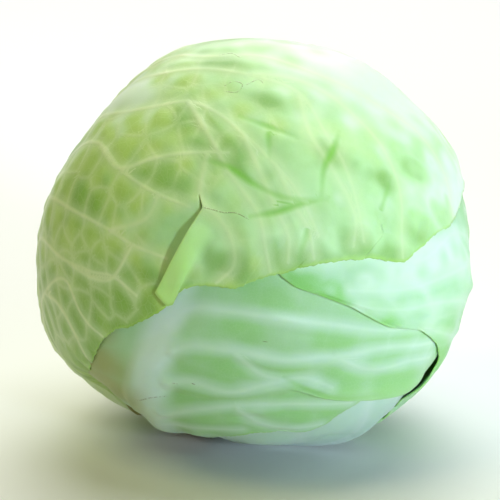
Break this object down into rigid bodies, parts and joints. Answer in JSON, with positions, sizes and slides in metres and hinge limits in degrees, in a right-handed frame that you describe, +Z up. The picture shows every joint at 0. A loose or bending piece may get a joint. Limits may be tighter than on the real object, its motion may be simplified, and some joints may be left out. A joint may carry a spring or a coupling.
{
  "type": "cabbage head",
  "caption": "A head of white cabbage lying on its side, pale green wrapper leaves folded tight round it, the stem cut short",
  "frame": {"origin": "On the surface that the head rests on, in the middle of its small flat spot", "axes": "+Z up from the surface; +X to the right and -Y towards the viewer, as the head is seen from its front"},
  "size_m": [0.1978, 0.2046, 0.1863],
  "materials": {
    "green_leaf": "waxy leaf, soft sheen",
    "pale_leaf": "waxy leaf, soft sheen",
    "inner_leaf": "waxy leaf, soft sheen",
    "cut_stem": "dry cut end, matt"
  },
  "bodies": {
    "root": {"packed_heart": "inner_leaf", "stem": "cut_stem", "leaf_back": "green_leaf", "leaf_lower_right": "pale_leaf", "leaf_front": "pale_leaf", "leaf_right_side": "green_leaf", "leaf_over_crown": "green_leaf"}
  },
  "joints": []
}
